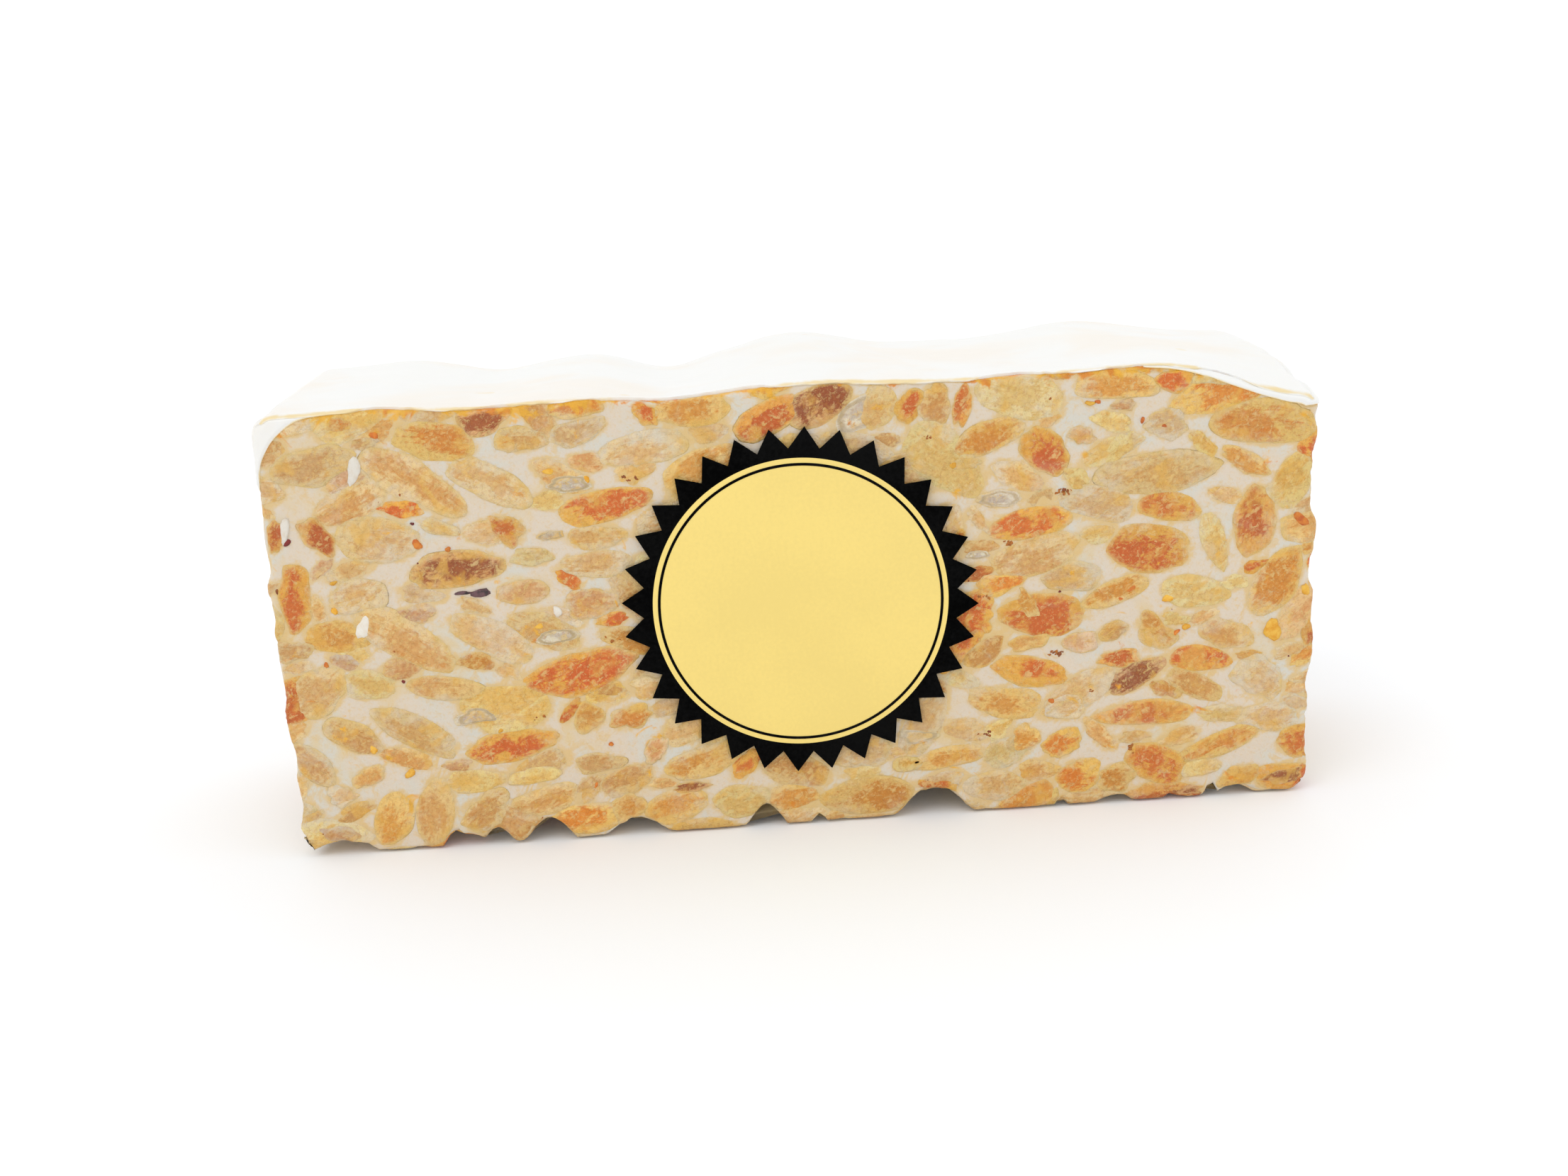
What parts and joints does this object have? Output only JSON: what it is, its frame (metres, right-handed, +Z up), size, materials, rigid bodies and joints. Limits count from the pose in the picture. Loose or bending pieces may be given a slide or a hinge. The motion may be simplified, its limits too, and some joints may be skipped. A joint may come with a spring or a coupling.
{
  "type": "almond nougat block",
  "caption": "Cut bar of hard almond nougat standing on its uncut underside, with a wafer sheet on top and a blank round toothed paper seal on its front.",
  "frame": {"origin": "centre of the underside, on the surface that the block stands on", "axes": "+X along the block's length, to the right as seen from the front; +Z up; the front cut face with the seal looks along -Y"},
  "size_m": [0.2087, 0.0607, 0.0934],
  "materials": {
    "nougat": "satin, ivory nougat with cut roasted almonds",
    "wafer": "smooth white edible wafer with a faint sheen",
    "seal_paper": "pale yellow printed paper with a black toothed border"
  },
  "bodies": {
    "root": {"nougat_block": "nougat", "wafer_sheet": "wafer", "paper_seal": "seal_paper"}
  },
  "joints": []
}
